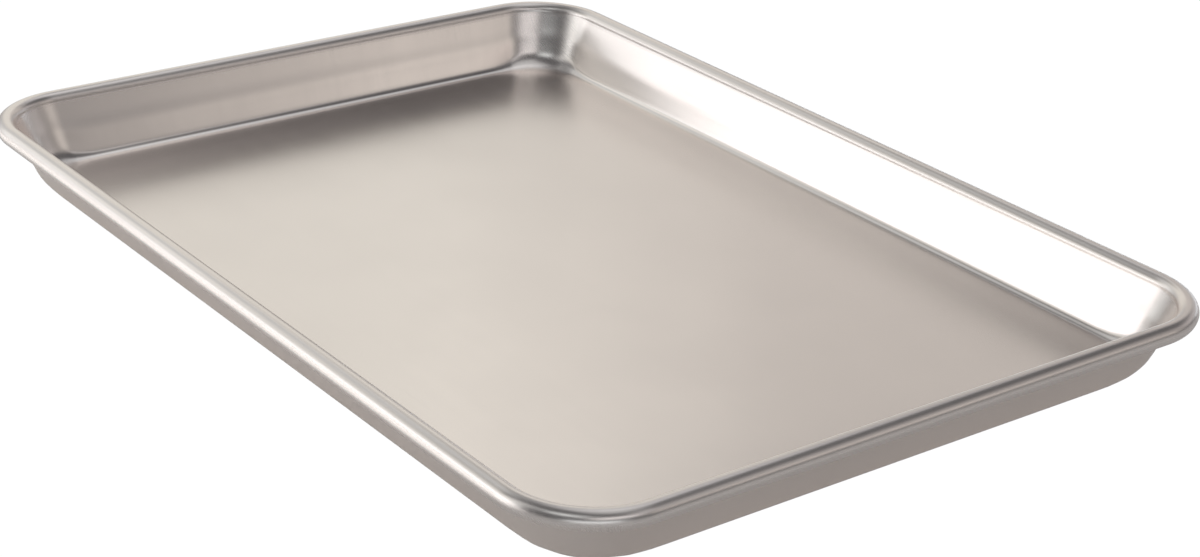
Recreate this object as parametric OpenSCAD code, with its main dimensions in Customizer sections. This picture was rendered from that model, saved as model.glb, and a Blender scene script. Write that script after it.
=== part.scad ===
// Jelly roll pan: one drawn aluminium sheet with a rim rolled round a steel wire.
// The origin is under the middle of the floor, on the surface that the pan stands on.
// X runs along the pan, Y across it, Z up.

/* [Pan] */
// Length of the pan over the rolled rim
pan_l = 400; // [250:1:650]
// Width of the pan over the rolled rim
pan_w = 287; // [180:1:460]
// Height from the underside of the floor to the top of the rim
pan_h = 27; // [20:0.5:50]
// Radius of the corners over the rolled rim, seen from above
corner_r = 34; // [28:1:80]

/* [Sheet] */
// Thickness of the aluminium sheet
sheet_t = 1; // [0.6:0.1:2]
// Angle by which the walls lean out from upright
wall_lean = 22; // [4:1:30]
// Inside radius of the cove between the floor and the walls
cove_r = 6; // [2:0.5:10]

/* [Rim] */
// Diameter of the steel wire inside the rolled rim
wire_d = 5; // [3:0.1:8]
// Room all round the wire inside the roll
wire_gap = 0.2; // [0.1:0.05:0.4]
// Slit between the hem of the roll and the wall
hem_gap = 0.3; // [0.2:0.05:0.6]
// Gap where the two ends of the wire meet
butt_gap = 1.5; // [0.5:0.5:5]

/* [Hidden] */
$fn = 72;

// The roll is a tube of sheet round the wire, and its top is the top of the pan
roll_in_r = wire_d / 2 + wire_gap;
roll_out_r = roll_in_r + sheet_t;

// Sections are drawn with x as the distance out from a corner's centre, and y as the height
roll_x = corner_r - roll_out_r;
roll_y = pan_h - roll_out_r;

// The wall's inner face touches the outside of the roll, and its outer face the inside
face_angle = 180 - wall_lean;
cove_y = sheet_t + cove_r;
cove_x = roll_x - (roll_out_r + cove_r + (roll_y - cove_y) * sin(wall_lean)) / cos(wall_lean);

// The hem stops where its outer edge would come within the slit's width of the wall
hem_angle = acos((roll_in_r - hem_gap) / roll_out_r);

// The wall runs on into the roll by this turn, so that the two are one sheet
lap_angle = 10;

// A point at a distance from the origin in a direction
function polar(r, a) = [r * cos(a), r * sin(a)];

// Sector of a ring between two angles less than half a turn apart
module ring_sector(r_in, r_out, a_from, a_to) {
    reach = 2 * r_out;
    intersection() {
        difference() {
            circle(r = r_out);
            circle(r = r_in);
        }
        polygon([[0, 0], polar(reach, a_from), polar(reach, (a_from + a_to) / 2), polar(reach, a_to)]);
    }
}

// Section of the rolled rim, open by a slit between the hem and the wall
module roll_section() {
    reach = 2 * roll_out_r;
    difference() {
        circle(r = roll_out_r);
        circle(r = roll_in_r);
        polygon([[0, 0], polar(reach, face_angle), polar(reach, face_angle + hem_angle)]);
    }
}

// Section of the flat of the wall, from the cove to a lap inside the thickness of the roll
module wall_section() {
    roll_centre = [roll_x, roll_y];
    cove_centre = [cove_x, cove_y];
    polygon([
        roll_centre + polar(roll_in_r, face_angle),
        roll_centre + polar(roll_in_r + sheet_t / 4, face_angle - lap_angle),
        roll_centre + polar(roll_out_r - sheet_t / 4, face_angle - lap_angle),
        roll_centre + polar(roll_out_r, face_angle),
        cove_centre - polar(cove_r, face_angle),
        cove_centre - polar(cove_r + sheet_t, face_angle)
    ]);
}

// Section of the whole wall, from the end of the flat floor to the hem of the rim
module side_section() {
    translate([roll_x, roll_y]) roll_section();
    wall_section();
    translate([cove_x, cove_y]) ring_sector(cove_r, cove_r + sheet_t, -90, face_angle - 180);
}

// Carries a section round the pan: four straight sides and four quarter turns
module round_the_rim() {
    for (k = [0:3]) {
        across = k % 2 == 0 ? pan_l : pan_w;
        along = k % 2 == 0 ? pan_w : pan_l;
        centre_x = across / 2 - corner_r;
        run = along - 2 * corner_r;
        rotate(90 * k) {
            translate([centre_x, 0, 0])
                rotate([90, 0, 0])
                    linear_extrude(height = run, center = true)
                        children();
            translate([centre_x, run / 2, 0])
                rotate_extrude(angle = 90)
                    children();
        }
    }
}

// Outline of the flat floor, up to where the cove starts to rise
module floor_outline() {
    corner_x = pan_l / 2 - corner_r;
    corner_y = pan_w / 2 - corner_r;
    square([2 * (corner_x + cove_x), 2 * corner_y], center = true);
    square([2 * corner_x, 2 * (corner_y + cove_x)], center = true);
    for (sx = [-1, 1], sy = [-1, 1]) translate([sx * corner_x, sy * corner_y]) circle(r = cove_x);
}

// The drawn sheet: floor, coves, leaning walls and rolled rim in one piece
module pan_shell() {
    color([0.79, 0.77, 0.74]) {
        linear_extrude(height = sheet_t) floor_outline();
        round_the_rim() side_section();
    }
}

// The wire that stiffens the rim, bent to a loop with its ends butted behind a long side
module rim_wire() {
    color([0.62, 0.64, 0.66])
        difference() {
            round_the_rim() translate([roll_x, roll_y]) circle(d = wire_d);
            translate([0, pan_w / 2 - roll_out_r, roll_y])
                cube([butt_gap, 2 * wire_d, 2 * wire_d], center = true);
        }
}

pan_shell();
rim_wire();
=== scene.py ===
"""Looks of the jelly roll pan: its drawn sheet, its rim wire, the studio and the camera."""

from __future__ import annotations

import logging
import math

from dataclasses import dataclass, replace
from enum import Enum
from typing import Any

import bpy
from mathutils import Matrix, Vector


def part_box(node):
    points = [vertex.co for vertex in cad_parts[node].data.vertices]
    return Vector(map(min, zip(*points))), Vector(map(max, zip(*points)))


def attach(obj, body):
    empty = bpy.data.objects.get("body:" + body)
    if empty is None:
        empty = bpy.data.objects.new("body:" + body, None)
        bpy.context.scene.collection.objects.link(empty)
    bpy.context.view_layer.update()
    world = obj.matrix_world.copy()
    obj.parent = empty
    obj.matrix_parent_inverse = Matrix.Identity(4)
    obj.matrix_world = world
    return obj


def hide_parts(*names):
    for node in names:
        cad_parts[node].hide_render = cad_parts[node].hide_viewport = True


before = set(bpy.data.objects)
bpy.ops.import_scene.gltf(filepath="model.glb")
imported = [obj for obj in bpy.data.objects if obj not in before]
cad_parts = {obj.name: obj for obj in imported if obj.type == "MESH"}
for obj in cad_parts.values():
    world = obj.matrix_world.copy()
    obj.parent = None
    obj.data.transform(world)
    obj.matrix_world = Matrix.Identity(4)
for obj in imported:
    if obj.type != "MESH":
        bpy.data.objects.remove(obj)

LOG = logging.getLogger("jelly_roll_pan")
MM = 0.001
BODY = "root"
Colour = tuple[float, float, float, float]


class Node(str, Enum):
    """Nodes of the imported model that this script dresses."""

    SHELL = "pan_shell"
    WIRE = "rim_wire"


class Slot(str, Enum):
    """Material slots of the record."""

    SHEET = "aluminium_sheet"
    WIRE = "galvanised_wire"


class Tree:
    """Short calls that add and link the nodes of one tree."""

    def __init__(self, tree: bpy.types.NodeTree) -> None:
        """Keeps the tree.

        Args:
            tree: A shader tree or a geometry tree.
        """
        self.tree = tree

    def feed(self, socket: bpy.types.NodeSocket, value: Any) -> None:
        """Links a socket to another one, or sets its value.

        Args:
            socket: The input that receives.
            value: An output socket, or a plain value.
        """
        if isinstance(value, bpy.types.NodeSocket):
            self.tree.links.new(value, socket)
        else:
            socket.default_value = value

    def add(self, kind: str, inputs: dict[Any, Any] | None = None, **settings: Any) -> bpy.types.Node:
        """Adds a node.

        Args:
            kind: Blender's name of the node type.
            inputs: Values or sockets for its inputs, by name or index.
            settings: Properties of the node, by name.

        Returns:
            The new node.
        """
        node = self.tree.nodes.new(kind)
        for name, value in settings.items():
            setattr(node, name, value)
        for key, value in (inputs or {}).items():
            self.feed(node.inputs[key], value)
        return node

    def math(self, operation: str, *values: Any) -> bpy.types.NodeSocket:
        """Adds a math node.

        Args:
            operation: The operation's name, such as MULTIPLY.
            values: Its inputs in order, each a socket or a number.

        Returns:
            The result's socket.
        """
        return self.add("ShaderNodeMath", dict(enumerate(values)), operation=operation).outputs[0]

    def parts(self, vector: bpy.types.NodeSocket) -> list[bpy.types.NodeSocket]:
        """The three parts of a vector."""
        return list(self.add("ShaderNodeSeparateXYZ", {0: vector}).outputs)

    def mix_vectors(self, share: Any, first: Any, second: Any) -> bpy.types.NodeSocket:
        """Mixes two vectors.

        Args:
            share: Share of the second one.
            first: A vector.
            second: Another vector.

        Returns:
            The result's socket.
        """
        return self.add("ShaderNodeMix", {0: share, 4: first, 5: second}, data_type="VECTOR").outputs[1]

    def mix(self, share: Any, first: Any, second: Any) -> bpy.types.NodeSocket:
        """Mixes two numbers.

        Args:
            share: Share of the second one.
            first: A number.
            second: Another number.

        Returns:
            The result's socket.
        """
        return self.add("ShaderNodeMix", {0: share, 2: first, 3: second}).outputs[0]

    def mix_colours(self, share: Any, first: Any, second: Any) -> bpy.types.NodeSocket:
        """Mixes two colours.

        Args:
            share: Share of the second one.
            first: A colour.
            second: Another colour.

        Returns:
            The result's socket.
        """
        return self.add("ShaderNodeMix", {0: share, 6: first, 7: second}, data_type="RGBA").outputs[2]

    def noise(self, vector: Any, scale: float, detail: float = 2.0) -> bpy.types.NodeSocket:
        """Noise between about 0 and 1.

        Args:
            vector: Its coordinates.
            scale: Waves per unit of the coordinates.
            detail: Octaves.

        Returns:
            The value's socket.
        """
        node = self.add("ShaderNodeTexNoise", {"Vector": vector, "Scale": scale, "Detail": detail})
        return node.outputs[0]

    def stretched(
        self, vector: Any, scales: tuple[float, float, float], turn: float = 0.0
    ) -> bpy.types.NodeSocket:
        """Turns and scales coordinates.

        Args:
            vector: The coordinates.
            scales: Scale along each axis.
            turn: Turn about the third axis.

        Returns:
            The result's socket.
        """
        settings = {"Vector": vector, "Rotation": (0.0, 0.0, turn), "Scale": scales}
        return self.add("ShaderNodeMapping", settings).outputs[0]

    def ramp(self, value: Any, low: float, high: float) -> bpy.types.NodeSocket:
        """A smooth step.

        Args:
            value: The input.
            low: Where the result is 0.
            high: Where the result is 1.

        Returns:
            The result's socket.
        """
        node = self.add(
            "ShaderNodeMapRange", {0: value, 1: low, 2: high}, interpolation_type="SMOOTHSTEP"
        )
        return node.outputs[0]


@dataclass(frozen=True)
class Station:
    """One point of the sheet's section, carried round the whole pan.

    The blank's inset and radius say where the point lay on the flat sheet
    before it was drawn. The last three say how the tools left it.
    """

    inset: float
    height: float
    corner_radius: float
    blank_inset: float
    drawn: float
    rolled: float
    outside: float


@dataclass
class SheetSection:
    """Section of the drawn sheet, from the middle of the floor round the rim and back underneath."""

    length: float
    width: float
    height: float
    roll_out: float
    sheet: float = 1.0 * MM
    lean: float = math.radians(22.0)
    cove: float = 3.6 * MM
    corner: float = 34.0 * MM
    corner_ease: float = 3.0 * MM
    tuck: float = 0.13 * MM
    crease: float = 2.0 * MM
    hem_gap: float = 0.3 * MM
    bow: float = 0.12 * MM
    bow_height: float = 0.42
    bow_spread: float = 0.16
    roll_margin: float = 0.1 * MM
    floor_steps: int = 8
    ring_steps: int = 6
    cove_steps: int = 10
    wall_steps: int = 16
    crease_steps: int = 8
    roll_steps: int = 40

    @property
    def ring(self) -> float:
        """Inset at which the corner's arcs have shrunk to a point, alike in every section."""
        return self.corner + self.corner_ease

    @property
    def roll_in(self) -> float:
        """Inside radius of the roll."""
        return self.roll_out - self.sheet

    @property
    def roll_centre(self) -> tuple[float, float]:
        """Inset and height of the middle of the roll."""
        return self.roll_out, self.height - self.roll_out

    @property
    def cove_centre(self) -> tuple[float, float]:
        """Middle of the cove's arc.

        Returns:
            Inset and height.
        """
        roll_inset, roll_height = self.roll_centre
        height = self.sheet + self.cove
        drop = (roll_height - height) * math.sin(self.lean)
        reach = self.roll_out - self.tuck + self.cove + drop
        return roll_inset + reach / math.cos(self.lean), height

    @property
    def face(self) -> float:
        """Angle of the wall's inner normal."""
        return math.pi - self.lean

    @property
    def crease_turn(self) -> float:
        """Angle from the wall's normal to the crease's centre, seen from the roll's centre."""
        return math.acos((self.roll_out - self.tuck + self.crease) / (self.roll_out + self.crease))

    @property
    def crease_centre(self) -> tuple[float, float]:
        """Inset and height of the middle of the hollow arc between the wall and the roll."""
        return self.on_arc(self.roll_centre, self.roll_out + self.crease, self.face + self.crease_turn)

    @staticmethod
    def on_arc(centre: tuple[float, float], radius: float, turn: float) -> tuple[float, float]:
        """A point on an arc, where a turn of 0 points out of the pan and a quarter turn up.

        Args:
            centre: Inset and height of the arc's centre.
            radius: The arc's radius.
            turn: The point's angle.

        Returns:
            Inset and height.
        """
        return centre[0] - radius * math.cos(turn), centre[1] + radius * math.sin(turn)

    def arc(
        self, centre: tuple[float, float], radius: float, start: float, end: float, steps: int
    ) -> list[tuple[float, float]]:
        """Points along an arc, with its first point and without its last.

        Args:
            centre: Inset and height of the arc's centre.
            radius: The arc's radius.
            start: First angle.
            end: Last angle.
            steps: Number of points.

        Returns:
            Inset and height of each point in order.
        """
        turns = [start + (end - start) * step / steps for step in range(steps)]
        return [self.on_arc(centre, radius, turn) for turn in turns]

    def line(
        self, start: tuple[float, float], end: tuple[float, float], steps: int, bow: float = 0.0
    ) -> list[tuple[float, float]]:
        """Points along a stretch, with its first point and without its last.

        Args:
            start: Inset and height of the first point.
            end: Inset and height of the last point.
            steps: Number of points.
            bow: How far the stretch stands proud of a straight line, towards the inset side.

        Returns:
            Inset and height of each point in order.
        """
        points = []
        low = min(start[1], end[1])
        rise = abs(end[1] - start[1]) or 1.0
        for step in range(steps):
            share = step / steps
            inset, height = (a + (b - a) * share for a, b in zip(start, end))
            offset = ((height - low) / rise - self.bow_height) / self.bow_spread
            points.append((inset + bow * math.exp(-offset * offset), height))
        return points

    def stations(self) -> list[Station]:
        """Lays out the whole section.

        Returns:
            All stations, from the floor's middle on top to its middle underneath.
        """
        roll, cove, hollow = self.roll_centre, self.cove_centre, self.crease_centre
        middle = self.width / 2.0
        down = -math.pi / 2.0
        foot = -self.lean
        start = self.face + self.crease_turn
        wall_side = self.face + math.pi
        roll_side = start + math.pi
        shut = (self.roll_in - self.tuck - self.hem_gap) / self.roll_out
        hem = self.face + math.acos(shut) - 2.0 * math.pi
        inner, outer = self.cove, self.cove + self.sheet
        steps = self.wall_steps
        upper = self.line((middle, self.sheet), (self.ring, self.sheet), self.floor_steps)
        upper += self.line((self.ring, self.sheet), self.on_arc(cove, inner, down), self.ring_steps)
        upper += self.arc(cove, inner, down, foot, self.cove_steps)
        thin, thick = self.crease, self.crease + self.sheet
        upper += self.line(
            self.on_arc(cove, inner, foot), self.on_arc(hollow, thin, wall_side), steps, self.bow
        )
        upper += self.arc(hollow, thin, wall_side, roll_side, self.crease_steps)
        upper += self.arc(roll, self.roll_out, start, hem, self.roll_steps)
        upper.append(self.on_arc(roll, self.roll_out, hem))
        lower = self.arc(roll, self.roll_in, hem, start, self.roll_steps)
        lower += self.arc(hollow, thick, roll_side, wall_side, self.crease_steps)
        lower += self.line(
            self.on_arc(hollow, thick, wall_side), self.on_arc(cove, outer, foot), steps, self.bow
        )
        lower += self.arc(cove, outer, foot, down, self.cove_steps)
        lower += self.line(self.on_arc(cove, outer, down), (self.ring, 0.0), self.ring_steps)
        lower += self.line((self.ring, 0.0), (middle, 0.0), self.floor_steps)
        lower.append((middle, 0.0))
        out = self.dress(upper, False)
        out += self.dress(lower[::-1], True)[::-1]
        return out

    def dress(self, points: list[tuple[float, float]], outside: bool) -> list[Station]:
        """Turns one face's points into stations.

        Args:
            points: Inset and height, from the floor's middle to the hem.
            outside: Whether the face is the lower one.

        Returns:
            The stations in the same order.
        """
        roll_height = self.roll_centre[1]
        foot = self.cove_centre[0]
        roll_start = self.on_arc(self.crease_centre, self.crease, self.face + math.pi)[1]
        out = []
        reach = 0.0
        before = points[0]
        for inset, height in points:
            reach += math.dist((inset, height), before)
            before = (inset, height)
            depth = min(max((roll_height - height) / roll_height, 0.0), 1.0)
            radius = max(self.corner - inset + self.corner_ease * depth, 0.0)
            drawn = min(max((foot - inset) / self.cove, 0.0), 1.0)
            rolled = float(height > roll_start - self.roll_margin and not outside)
            out.append(
                Station(inset, height, radius, points[0][0] - reach, drawn, rolled, float(outside))
            )
        return out


@dataclass(frozen=True)
class RimPoint:
    """One point of the way round the pan."""

    anchor: tuple[float, float]
    outward: tuple[float, float]
    bend: float


@dataclass
class RimPath:
    """The way round the pan: a quarter turn at each corner and a straight run between them."""

    length: float
    width: float
    corner: float
    corner_steps: int = 40
    side_steps: int = 24
    bend_full: float = 14.0 * MM
    bend_none: float = 38.0 * MM

    def bend(self, distance: float) -> float:
        """Share of the corner's own section.

        Args:
            distance: Distance along the rim from the middle of the corner.

        Returns:
            1 in the corner, 0 on the side, and a smooth change between them.
        """
        share = (self.bend_none - distance) / (self.bend_none - self.bend_full)
        share = min(max(share, 0.0), 1.0)
        return share * share * (3.0 - 2.0 * share)

    def points(self) -> list[RimPoint]:
        """Points in order, from the end of the right-hand side round over the back.

        Returns:
            For each point the corner centre that it hangs on, in shares of the
            half sizes, the direction outwards and the share of the corner's section.
        """
        corners = [(1.0, 1.0), (-1.0, 1.0), (-1.0, -1.0), (1.0, -1.0)]
        half_turn = self.corner * math.pi / 4.0
        out: list[RimPoint] = []
        for number, corner in enumerate(corners):
            following = corners[(number + 1) % 4]
            run = (self.length if corner[1] == following[1] else self.width) - 2.0 * self.corner
            for step in range(self.corner_steps + 1):
                share = step / self.corner_steps
                turn = (number + share) * math.pi / 2.0
                bend = self.bend(abs(share - 0.5) * 2.0 * half_turn)
                out.append(RimPoint(corner, (math.cos(turn), math.sin(turn)), bend))
            for step in range(1, self.side_steps):
                share = 0.5 - 0.5 * math.cos(math.pi * step / self.side_steps)
                anchor = tuple(a + (b - a) * share for a, b in zip(corner, following))
                bend = self.bend(half_turn + run * min(share, 1.0 - share))
                out.append(RimPoint(anchor, out[-1].outward, bend))
        return out


@dataclass
class Sweep:
    """Geometry Nodes that carry the sheet's section round the rim path.

    The side's section turns into the corner's own section near each corner.
    """

    side: SheetSection
    corner: SheetSection
    path: RimPath
    name: str = "section_round_rim"
    crimp_depth: float = 0.10 * MM
    crimp_scale: float = 9.0
    seed: float = 4.0
    weld: float = 0.01 * MM
    sharp_angle: float = math.radians(50.0)

    def guide(
        self, name: str, count: int, values: dict[str, list[tuple[float, float, float]]]
    ) -> bpy.types.Object:
        """Makes a mesh of loose points that holds named vectors.

        Args:
            name: Name of the object.
            count: Number of points.
            values: One vector for each point, by attribute name.

        Returns:
            The object, linked to the scene.
        """
        mesh = bpy.data.meshes.new(name)
        mesh.vertices.add(count)
        for key, vectors in values.items():
            layer = mesh.attributes.new(key, "FLOAT_VECTOR", "POINT")
            layer.data.foreach_set("vector", [number for vector in vectors for number in vector])
        guide = bpy.data.objects.new(name, mesh)
        bpy.context.scene.collection.objects.link(guide)
        return guide

    def section_guide(self, name: str, section: SheetSection) -> bpy.types.Object:
        """Makes the guide of one section.

        Args:
            name: Name of the object.
            section: The section.

        Returns:
            The guide with its stations, its blank and its finish.
        """
        stations = section.stations()
        return self.guide(
            name,
            len(stations),
            {
                "station": [(item.inset, item.height, item.corner_radius) for item in stations],
                "blank": [
                    (item.blank_inset, max(section.ring - item.blank_inset, 0.0), 0.0)
                    for item in stations
                ],
                "finish": [(item.drawn, item.rolled, item.outside) for item in stations],
            },
        )

    def tree(self) -> bpy.types.NodeTree:
        """Builds the tree.

        Returns:
            A geometry tree with named inputs for the guides, the sizes and the material.
        """
        group = bpy.data.node_groups.new(self.name, "GeometryNodeTree")
        for name, kind in (
            ("Rim path", "NodeSocketObject"),
            ("Side section", "NodeSocketObject"),
            ("Corner section", "NodeSocketObject"),
            ("Half length", "NodeSocketFloat"),
            ("Half width", "NodeSocketFloat"),
            ("Weld distance", "NodeSocketFloat"),
            ("Crimp depth", "NodeSocketFloat"),
            ("Crimp scale", "NodeSocketFloat"),
            ("Crimp seed", "NodeSocketFloat"),
            ("Material", "NodeSocketMaterial"),
        ):
            group.interface.new_socket(name, in_out="INPUT", socket_type=kind)
        group.interface.new_socket("Geometry", in_out="OUTPUT", socket_type="NodeSocketGeometry")
        t = Tree(group)
        given = t.add("NodeGroupInput").outputs

        def points_of(source: bpy.types.NodeSocket) -> tuple[bpy.types.NodeSocket, bpy.types.NodeSocket]:
            """Reads a guide object.

            Args:
                source: The group input that holds it.

            Returns:
                Its geometry and its number of points.
            """
            shape = t.add("GeometryNodeObjectInfo", {"Object": source}).outputs["Geometry"]
            count = t.add("GeometryNodeAttributeDomainSize", {"Geometry": shape}).outputs["Point Count"]
            return shape, count

        def read(
            shape: bpy.types.NodeSocket, name: str, index: bpy.types.NodeSocket
        ) -> bpy.types.NodeSocket:
            """Reads a named vector of a guide.

            Args:
                shape: The guide's geometry.
                name: The attribute's name.
                index: Index of the guide's point.

            Returns:
                The vector's socket.
            """
            vector = t.add("GeometryNodeInputNamedAttribute", {"Name": name}, data_type="FLOAT_VECTOR")
            sample = t.add(
                "GeometryNodeSampleIndex",
                {"Geometry": shape, "Value": vector.outputs["Attribute"], "Index": index},
                data_type="FLOAT_VECTOR",
            )
            return sample.outputs[0]

        path, path_count = points_of(given["Rim path"])
        side, side_count = points_of(given["Side section"])
        corner, _ = points_of(given["Corner section"])
        grid = t.add(
            "GeometryNodeMeshGrid",
            {"Vertices X": t.math("ADD", path_count, 1), "Vertices Y": side_count},
        )
        index = t.add("GeometryNodeInputIndex").outputs[0]
        station = t.math("MODULO", index, side_count)
        lap = t.math("FLOOR", t.math("DIVIDE", t.math("ADD", index, 0.5), side_count))
        around = t.math("MODULO", lap, path_count)
        anchor_x, anchor_y, bend = t.parts(read(path, "anchor", around))
        outward_x, outward_y, _ = t.parts(read(path, "outward", around))

        def blended(name: str) -> bpy.types.NodeSocket:
            """A named vector of the two sections, mixed by the path's bend."""
            return t.mix_vectors(bend, read(side, name, station), read(corner, name, station))

        def place(
            inset: bpy.types.NodeSocket, radius: bpy.types.NodeSocket, height: Any
        ) -> bpy.types.NodeSocket:
            """Places a station at the path's point.

            Args:
                inset: How far it lies inside the pan's edge.
                radius: Its radius in the corner.
                height: Its height.

            Returns:
                The position's socket.
            """
            depth = t.math("ADD", inset, radius)
            places = []
            for half, anchor, outward in (
                (given["Half length"], anchor_x, outward_x),
                (given["Half width"], anchor_y, outward_y),
            ):
                centre = t.math("MULTIPLY", t.math("SUBTRACT", half, depth), anchor)
                places.append(t.math("ADD", centre, t.math("MULTIPLY", radius, outward)))
            return t.add("ShaderNodeCombineXYZ", {0: places[0], 1: places[1], 2: height}).outputs[0]

        inset, height, radius = t.parts(blended("station"))
        blank_inset, blank_radius, _ = t.parts(blended("blank"))
        finish = blended("finish")
        rolled = t.parts(finish)[1]
        noise = t.add(
            "ShaderNodeTexNoise",
            {
                "Vector": read(path, "outward", around),
                "W": given["Crimp seed"],
                "Scale": given["Crimp scale"],
            },
            noise_dimensions="4D",
        )
        swing = t.math("MULTIPLY", t.math("SUBTRACT", noise.outputs[0], 0.5), given["Crimp depth"])
        crimp = t.math("MULTIPLY", t.math("MULTIPLY", swing, bend), rolled)
        crimped = t.math("SUBTRACT", inset, t.math("MINIMUM", crimp, 0.0))
        moved = t.add(
            "GeometryNodeSetPosition",
            {"Geometry": grid.outputs["Mesh"], "Position": place(crimped, radius, height)},
        )
        turned_out = t.add("GeometryNodeFlipFaces", {"Mesh": moved.outputs[0]})
        flat = t.add(
            "GeometryNodeFieldOnDomain",
            {"Value": place(blank_inset, blank_radius, 0.0)},
            data_type="FLOAT_VECTOR",
            domain="POINT",
        )
        laid = t.add(
            "GeometryNodeStoreNamedAttribute",
            {"Geometry": turned_out.outputs[0], "Name": "blank", "Value": flat.outputs[0]},
            data_type="FLOAT2",
            domain="CORNER",
        )
        marked = t.add(
            "GeometryNodeStoreNamedAttribute",
            {"Geometry": laid.outputs[0], "Name": "finish", "Value": finish},
            data_type="FLOAT_VECTOR",
            domain="POINT",
        )
        turned = t.add(
            "GeometryNodeStoreNamedAttribute",
            {"Geometry": marked.outputs[0], "Name": "corner", "Value": bend},
            data_type="FLOAT",
            domain="POINT",
        )
        welded = t.add(
            "GeometryNodeMergeByDistance",
            {"Geometry": turned.outputs[0], "Distance": given["Weld distance"]},
        )
        real = t.add("GeometryNodeRealizeInstances", {"Geometry": welded.outputs[0]})
        dressed = t.add(
            "GeometryNodeSetMaterial", {"Geometry": real.outputs[0], "Material": given["Material"]}
        )
        t.add("NodeGroupOutput", {"Geometry": dressed.outputs[0]})
        return group

    def build(self, name: str, material: bpy.types.Material) -> bpy.types.Object:
        """Runs the tree and keeps its result as a plain mesh.

        Args:
            name: Name of the piece.
            material: Its finish.

        Returns:
            The piece, with no modifier left on it.
        """
        points = self.path.points()
        path = self.guide(
            "rim_path",
            len(points),
            {
                "anchor": [(*point.anchor, point.bend) for point in points],
                "outward": [(*point.outward, 0.0) for point in points],
            },
        )
        side = self.section_guide("side_section", self.side)
        corner = self.section_guide("corner_section", self.corner)
        carrier = self.guide("carrier", 0, {})
        modifier = carrier.modifiers.new(self.name, "NODES")
        modifier.node_group = self.tree()
        values = {
            "Rim path": path,
            "Side section": side,
            "Corner section": corner,
            "Half length": self.side.length / 2.0,
            "Half width": self.side.width / 2.0,
            "Weld distance": self.weld,
            "Crimp depth": self.crimp_depth,
            "Crimp scale": self.crimp_scale,
            "Crimp seed": self.seed,
            "Material": material,
        }
        for item in modifier.node_group.interface.items_tree:
            if item.in_out == "INPUT":
                modifier[item.identifier] = values[item.name]
        evaluated = carrier.evaluated_get(bpy.context.evaluated_depsgraph_get())
        mesh = bpy.data.meshes.new_from_object(evaluated)
        mesh.name = name
        mesh.materials.clear()
        mesh.materials.append(material)
        for helper in (carrier, path, side, corner):
            bpy.data.objects.remove(helper)
        mesh.shade_smooth()
        mesh.set_sharp_from_angle(angle=self.sharp_angle)
        piece = bpy.data.objects.new(name, mesh)
        bpy.context.scene.collection.objects.link(piece)
        return piece


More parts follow.
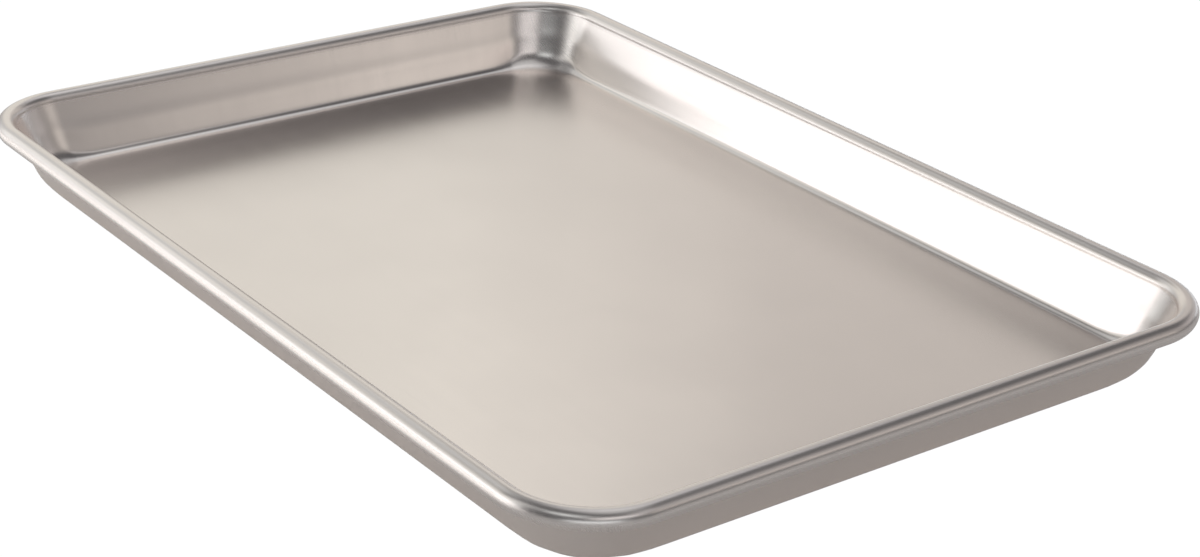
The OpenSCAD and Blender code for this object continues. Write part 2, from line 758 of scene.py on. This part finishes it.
@dataclass(frozen=True)
class AluminiumFinish:
    """Finish of the drawn sheet: rolled grain that runs lengthwise, soft clouds and faint scratches."""

    name: str = "drawn_aluminium"
    tint: Colour = (0.95, 0.872, 0.818, 1.0)
    cloud_tint: Colour = (0.935, 0.858, 0.805, 1.0)
    floor_roughness: float = 0.235
    wall_roughness: float = 0.21
    corner_roughness: float = 0.27
    roll_roughness: float = 0.30
    outside_roughness: float = 0.30
    grain_per_metre: float = 1300.0
    grain_along: float = 22.0
    streak_width: float = 6.0
    streak_along: float = 3.0
    cloud_per_metre: float = 16.0
    cloud_edges: tuple[float, float] = (0.35, 0.65)
    fine_per_metre: float = 2400.0
    scratch_per_metre: float = 420.0
    scratch_along: float = 9.0
    scratch_turns: tuple[float, float, float] = (0.35, -0.9, 1.45)
    scratch_edges: tuple[float, float] = (0.76, 0.80)
    wave_per_metre: float = 11.0
    wave_depth: float = 0.20 * MM
    grain_depth: float = 0.002 * MM
    corner_grain: float = 0.15
    grain_roughness: float = 0.05
    streak_roughness: float = 0.03
    cloud_roughness: float = 0.06
    scratch_roughness: float = 0.02
    grain_shade: float = 0.06
    scratch_shade: float = 0.012
    fine_relief: float = 0.2
    scratch_relief: float = 0.25

    def material(self) -> bpy.types.Material:
        """Builds the material.

        Returns:
            The material, which reads the sheet's own attributes.
        """
        material = bpy.data.materials.new(self.name)
        material.use_nodes = True
        t = Tree(material.node_tree)
        shader = material.node_tree.nodes["Principled BSDF"]
        place = t.add("ShaderNodeTexCoord").outputs["Object"]
        blank = t.add("ShaderNodeUVMap", uv_map="blank").outputs[0]
        finish = t.add("ShaderNodeAttribute", attribute_name="finish").outputs["Vector"]
        drawn, rolled, outside = t.parts(finish)
        corner = t.add("ShaderNodeAttribute", attribute_name="corner").outputs["Fac"]

        streaks_per_metre = self.grain_per_metre / self.streak_width
        grain = t.noise(t.stretched(blank, (self.grain_along, self.grain_per_metre, 1.0)), 1.0, 3.0)
        streaks = t.noise(t.stretched(blank, (self.streak_along, streaks_per_metre, 1.0)), 1.0, 2.0)
        clouds = t.noise(place, self.cloud_per_metre, 3.0)
        fine = t.noise(place, self.fine_per_metre, 2.0)
        scales = (self.scratch_along, self.scratch_per_metre, self.scratch_along)
        scratches = [
            t.ramp(t.noise(t.stretched(place, scales, turn), 1.0, 1.0), *self.scratch_edges)
            for turn in self.scratch_turns
        ]
        scratch = t.math("MAXIMUM", t.math("MAXIMUM", scratches[0], scratches[1]), scratches[2])

        drawn_roughness = t.mix(corner, self.wall_roughness, self.corner_roughness)
        roughness = t.mix(drawn, self.floor_roughness, drawn_roughness)
        roughness = t.mix(rolled, roughness, self.roll_roughness)
        roughness = t.mix(outside, roughness, self.outside_roughness)
        for pattern, amount in (
            (grain, self.grain_roughness),
            (streaks, self.streak_roughness),
            (clouds, self.cloud_roughness),
        ):
            swing = t.math("MULTIPLY", t.math("SUBTRACT", pattern, 0.5), amount)
            roughness = t.math("ADD", roughness, swing)
        roughness = t.math("ADD", roughness, t.math("MULTIPLY", scratch, self.scratch_roughness))

        colour = t.mix_colours(t.ramp(clouds, *self.cloud_edges), self.tint, self.cloud_tint)
        ridge = t.math("ABSOLUTE", t.math("SUBTRACT", grain, 0.5))
        shade = t.math("SUBTRACT", 1.0, t.math("MULTIPLY", ridge, self.grain_shade))
        shade = t.math("SUBTRACT", shade, t.math("MULTIPLY", scratch, self.scratch_shade))
        tone = t.add("ShaderNodeCombineXYZ", {0: shade, 1: shade, 2: shade}).outputs[0]
        toned = t.add(
            "ShaderNodeMix", {0: 1.0, 6: colour, 7: tone}, data_type="RGBA", blend_type="MULTIPLY"
        )

        wave = t.noise(place, self.wave_per_metre, 1.0)
        bumped = t.add("ShaderNodeBump", {"Height": wave, "Distance": self.wave_depth, "Strength": 1.0})
        relief = t.math("ADD", grain, t.math("MULTIPLY", fine, self.fine_relief))
        relief = t.math("SUBTRACT", relief, t.math("MULTIPLY", scratch, self.scratch_relief))
        stretched = t.math("MULTIPLY", corner, drawn)
        relief = t.math("MULTIPLY", relief, t.mix(stretched, 1.0, self.corner_grain))
        grained = t.add(
            "ShaderNodeBump",
            {"Height": relief, "Distance": self.grain_depth, "Strength": 1.0, "Normal": bumped.outputs[0]},
        )
        shader.inputs["Metallic"].default_value = 1.0
        t.feed(shader.inputs["Base Color"], toned.outputs[2])
        t.feed(shader.inputs["Roughness"], roughness)
        t.feed(shader.inputs["Normal"], grained.outputs[0])
        return material


@dataclass(frozen=True)
class GalvanisedFinish:
    """Finish of the rim wire: zinc spangle over fine drawing marks."""

    name: str = "galvanised_wire"
    light: Colour = (0.66, 0.67, 0.68, 1.0)
    dark: Colour = (0.47, 0.48, 0.50, 1.0)
    spangle_per_metre: float = 320.0
    roughness: float = 0.36
    spangle_roughness: float = 0.22
    metallic: float = 0.9
    marks_per_metre: float = 1800.0
    marks_depth: float = 0.004 * MM

    def material(self) -> bpy.types.Material:
        """Builds the material.

        Returns:
            The material, which reads Object coordinates alone.
        """
        material = bpy.data.materials.new(self.name)
        material.use_nodes = True
        t = Tree(material.node_tree)
        shader = material.node_tree.nodes["Principled BSDF"]
        place = t.add("ShaderNodeTexCoord").outputs["Object"]
        spangle = t.add("ShaderNodeTexVoronoi", {"Vector": place, "Scale": self.spangle_per_metre})
        share = t.parts(spangle.outputs["Color"])[0]
        marks = t.noise(place, self.marks_per_metre, 3.0)
        swing = t.math("MULTIPLY", t.math("SUBTRACT", share, 0.5), self.spangle_roughness)
        shader.inputs["Metallic"].default_value = self.metallic
        t.feed(shader.inputs["Base Color"], t.mix_colours(share, self.dark, self.light))
        t.feed(shader.inputs["Roughness"], t.math("ADD", self.roughness, swing))
        bump = t.add("ShaderNodeBump", {"Height": marks, "Distance": self.marks_depth, "Strength": 1.0})
        t.feed(shader.inputs["Normal"], bump.outputs[0])
        return material


@dataclass
class Pan:
    """The pan: its drawn sheet and the wire inside the rim."""

    corner_cove: float = 10.0 * MM

    def sheet(self) -> bpy.types.Object:
        """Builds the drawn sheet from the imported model's sizes.

        Returns:
            The sheet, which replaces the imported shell.
        """
        low, high = (Vector(corner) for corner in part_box(Node.SHELL.value))
        wire_low, wire_high = (Vector(corner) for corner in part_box(Node.WIRE.value))
        size = high - low
        roll_out = high.z - (wire_low.z + wire_high.z) / 2.0
        side = SheetSection(size.x, size.y, size.z, roll_out)
        corner = replace(side, cove=self.corner_cove)
        sweep = Sweep(side, corner, RimPath(size.x, size.y, side.corner))
        piece = sweep.build("sheet", AluminiumFinish().material())
        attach(piece, BODY)
        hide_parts(Node.SHELL.value)
        LOG.info("sheet: %d faces", len(piece.data.polygons))
        return piece

    def wire(self) -> bpy.types.Object:
        """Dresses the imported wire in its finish.

        Returns:
            The wire.
        """
        wire = bpy.data.objects[Node.WIRE.value]
        material = GalvanisedFinish().material()
        for slot in wire.material_slots:
            slot.material = material
        LOG.info("wire: %d material slots", len(wire.material_slots))
        return wire


@dataclass(frozen=True)
class Softbox:
    """A soft-edged light that faces the pan, placed by angles as seen from it."""

    name: str
    azimuth: float
    elevation: float
    half_width: float
    half_height: float
    radiance: float
    colour: tuple[float, float, float] = (1.0, 1.0, 1.0)
    feather: float = 4.0
    smallest: float = 0.4
    gap: float = 0.01

    def panel(self, distance: float, growth: float, radiance: float) -> bpy.types.Object:
        """Builds one panel of the light.

        Args:
            distance: Distance from the pan's middle in metres.
            growth: Degrees that are added to its half width and half height.
            radiance: Its share of the light's radiance.

        Returns:
            The panel's object.
        """
        data = bpy.data.lights.new(self.name, "AREA")
        data.shape = "RECTANGLE"
        half_width = max(self.half_width + growth, self.half_width * self.smallest)
        half_height = max(self.half_height + growth, self.half_height * self.smallest)
        data.size = 2.0 * distance * math.tan(math.radians(half_width))
        data.size_y = 2.0 * distance * math.tan(math.radians(half_height))
        data.energy = math.pi * data.size * data.size_y * radiance
        data.color = self.colour
        panel = bpy.data.objects.new(self.name, data)
        azimuth, elevation = math.radians(self.azimuth), math.radians(self.elevation)
        out = Vector(
            (
                math.cos(elevation) * math.cos(azimuth),
                math.cos(elevation) * math.sin(azimuth),
                math.sin(elevation),
            )
        )
        right = Vector((-math.sin(azimuth), math.cos(azimuth), 0.0))
        turned = Matrix((right, out.cross(right), out)).transposed().to_4x4()
        panel.matrix_world = Matrix.Translation(out * distance) @ turned
        panel.visible_camera = False
        bpy.context.scene.collection.objects.link(panel)
        return panel

    def build(self, distance: float) -> list[bpy.types.Object]:
        """Builds the light as nested panels, so that its edge is soft.

        Args:
            distance: Distance from the pan's middle in metres.

        Returns:
            The panels' objects, the smallest first.
        """
        growths = (-self.feather, 0.0, self.feather)
        share = self.radiance / len(growths)
        return [
            self.panel(distance * (1.0 + self.gap * number), growth, share)
            for number, growth in enumerate(growths)
        ]


# Where these numbers come from: scratch programs fitted the directions, sizes, strengths and
# colours to the reflections in the photograph. They were then rounded, and some were set one by
# one.
SOFTBOXES = (
    Softbox("left_low", 234.6, 8.0, 18.8, 5.1, 1.46, (0.97, 0.98, 1.0)),
    Softbox("left_edge", 215.5, 6.8, 10.4, 7.3, 0.21),
    Softbox("left_strip", 226.5, 16.3, 24.1, 5.0, 0.73, (0.90, 0.96, 1.0)),
    Softbox("left_upper", 220.0, 28.2, 19.8, 5.9, 0.59, (1.0, 1.0, 0.94)),
    Softbox("left_tall", 248.4, 27.0, 5.7, 20.0, 0.83, (0.95, 0.99, 1.0), feather=8.0),
    Softbox("back_left_near", 193.2, 25.7, 15.0, 30.7, 0.54, (0.93, 0.98, 1.0)),
    Softbox("back_left_far", 158.6, 21.5, 15.4, 22.2, 0.67, (1.0, 1.0, 0.94)),
    Softbox("back_low", 114.0, 0.8, 23.1, 3.1, 1.87, (0.83, 0.92, 1.0)),
    Softbox("back_mid", 125.5, 24.3, 15.5, 11.2, 0.51, (1.0, 0.96, 0.91)),
    Softbox("back_right", 86.5, 18.4, 20.3, 8.8, 0.41, (1.0, 0.96, 0.96)),
    Softbox("back_high", 126.0, 57.2, 14.6, 15.4, 0.48, (0.91, 0.95, 1.0)),
    Softbox("right_mid", 34.3, 17.9, 10.0, 3.2, 0.70, (1.0, 0.95, 0.90)),
    Softbox("right_soft", 48.2, 21.5, 14.0, 15.2, 0.21, (1.0, 0.95, 0.90)),
    Softbox("right_upper", 27.0, 43.0, 7.0, 12.0, 0.46, (0.98, 0.98, 1.0)),
    Softbox("right_high", 350.0, 33.0, 18.0, 7.0, 1.05, (0.98, 0.98, 1.0)),
    Softbox("front_low", 328.4, 4.8, 22.5, 5.0, 1.27, (0.87, 0.95, 1.0)),
    Softbox("front_high", 300.0, 47.0, 12.0, 7.0, 1.04, (0.89, 0.97, 1.0)),
    Softbox("top", 86.5, 80.0, 19.0, 13.0, 0.45, (0.93, 0.97, 1.0)),
)


@dataclass
class Studio:
    """Floor, lights and camera."""

    floor_size: float = 12.0
    azimuth: float = 52.2
    elevation: float = 24.42
    roll: float = 2.42
    distance: float = 880.2 * MM
    target: tuple[float, float, float] = (44.5 * MM, -14.4 * MM, 15.0 * MM)
    lens: float = 74.64
    light_distance: float = 2.0
    fill: float = 0.095
    fill_tint: Colour = (0.92, 0.93, 1.0, 1.0)
    floor_glow: float = 0.86
    mirrored_glow: float = 0.11
    # Painted pool of light: a glowing sheet on the floor at the left, seen only in the metal's
    # reflections.
    painted_pool_glow: float = 0.42
    painted_pool_fade: float = 0.035
    painted_pool_reach: tuple[float, float] = (0.143, 1.2)
    painted_pool_sides: tuple[float, float] = (-1.2, 0.16)
    painted_pool_level: float = 0.2 * MM
    board_tone: float = 0.9
    board_roughness: float = 0.3
    mirrored_gloss: float = 0.5

    def camera(self) -> bpy.types.Object:
        """Sets the camera at the photograph's angle.

        Returns:
            The camera, which is the scene's own.
        """
        azimuth, elevation, roll = (
            math.radians(angle) for angle in (self.azimuth, self.elevation, self.roll)
        )
        back = Vector(
            (
                math.sin(azimuth) * math.cos(elevation),
                -math.cos(azimuth) * math.cos(elevation),
                math.sin(elevation),
            )
        )
        right = Vector((math.cos(azimuth), math.sin(azimuth), 0.0))
        up = back.cross(right)
        tilted = right * math.cos(roll) + up * math.sin(roll)
        up = up * math.cos(roll) - right * math.sin(roll)
        data = bpy.data.cameras.new("camera")
        data.lens = self.lens
        camera = bpy.data.objects.new("camera", data)
        bpy.context.scene.collection.objects.link(camera)
        turned = Matrix((tilted, up, back)).transposed().to_4x4()
        camera.matrix_world = Matrix.Translation(Vector(self.target) + back * self.distance) @ turned
        bpy.context.scene.camera = camera
        return camera

    def plane(self, name: str, gloss: float, glow: float) -> bpy.types.Object:
        """Lays a level board under the pan.

        Args:
            name: Name of the object and its material.
            gloss: Specular level of its surface.
            glow: Radiance that it gives by itself.

        Returns:
            The board.
        """
        half = self.floor_size / 2.0
        corners = [(-half, -half, 0.0), (half, -half, 0.0), (half, half, 0.0), (-half, half, 0.0)]
        mesh = bpy.data.meshes.new(name)
        mesh.from_pydata(corners, [], [(0, 1, 2, 3)])
        material = bpy.data.materials.new(name)
        material.use_nodes = True
        shader = material.node_tree.nodes["Principled BSDF"]
        shader.inputs["Base Color"].default_value = (*[self.board_tone] * 3, 1.0)
        shader.inputs["Roughness"].default_value = self.board_roughness
        shader.inputs["Specular IOR Level"].default_value = gloss
        shader.inputs["Emission Color"].default_value = (1.0, 1.0, 1.0, 1.0)
        shader.inputs["Emission Strength"].default_value = glow
        mesh.materials.append(material)
        board = bpy.data.objects.new(name, mesh)
        bpy.context.scene.collection.objects.link(board)
        return board

    def floor(self) -> None:
        """Lays the pale floor: a bright board for the eye and a duller one for the metal."""
        shown = self.plane("floor", 0.0, self.floor_glow)
        shown.visible_diffuse = False
        shown.visible_glossy = False
        mirrored = self.plane("floor_in_reflections", self.mirrored_gloss, self.mirrored_glow)
        mirrored.visible_camera = False

    def card(self) -> None:
        """Lays a painted pool of light: a glowing sheet on the floor at the left, hidden from the camera,
        which the near long side mirrors.
        """
        near, far = self.painted_pool_reach
        left, right = self.painted_pool_sides
        outline = ((left, -far), (right, -far), (right, -near), (left, -near))
        corners = [(across, along, self.painted_pool_level) for across, along in outline]
        mesh = bpy.data.meshes.new("card")
        mesh.from_pydata(corners, [], [(0, 1, 2, 3)])
        material = bpy.data.materials.new("card")
        material.use_nodes = True
        material.node_tree.nodes.clear()
        t = Tree(material.node_tree)
        place = t.parts(t.add("ShaderNodeTexCoord").outputs["Object"])
        # Painted pool of light: the glow fades in away from the pan and towards the left.
        inner = t.ramp(t.math("MULTIPLY", place[1], -1.0), near, near + self.painted_pool_fade)
        side = t.ramp(t.math("MULTIPLY", place[0], -1.0), -right, 2.0 * self.painted_pool_fade - right)
        share = t.math("MULTIPLY", inner, side)
        tone = t.add("ShaderNodeCombineXYZ", {0: share, 1: share, 2: share}).outputs[0]
        # The sheet glows though it is no lamp: painted light for the metal to mirror.
        glow = t.add("ShaderNodeEmission", {"Color": tone, "Strength": self.painted_pool_glow}).outputs[0]
        clear = t.add("ShaderNodeBsdfTransparent").outputs[0]
        both = t.add("ShaderNodeAddShader", {0: clear, 1: glow}).outputs[0]
        t.add("ShaderNodeOutputMaterial", {"Surface": both})
        mesh.materials.append(material)
        card = bpy.data.objects.new("card", mesh)
        card.visible_camera = False
        card.visible_diffuse = False
        bpy.context.scene.collection.objects.link(card)

    def lights(self) -> None:
        """Lights the studio with softboxes all round and a dim fill."""
        for softbox in SOFTBOXES:
            softbox.build(self.light_distance)
        world = bpy.data.worlds.new("studio")
        world.use_nodes = True
        background = world.node_tree.nodes["Background"]
        background.inputs[0].default_value = self.fill_tint
        background.inputs[1].default_value = self.fill
        bpy.context.scene.world = world
        LOG.info("studio: %d softboxes", len(SOFTBOXES))


def main() -> None:
    """Builds the pan and its studio in order."""
    logging.basicConfig(level=logging.INFO, format="%(name)s: %(message)s")
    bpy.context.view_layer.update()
    studio = Studio()
    studio.camera()
    studio.floor()
    studio.card()
    studio.lights()
    pan = Pan()
    pan.sheet()
    pan.wire()
    bpy.context.scene.view_settings.view_transform = "Standard"


if __name__ == "__main__":
    main()
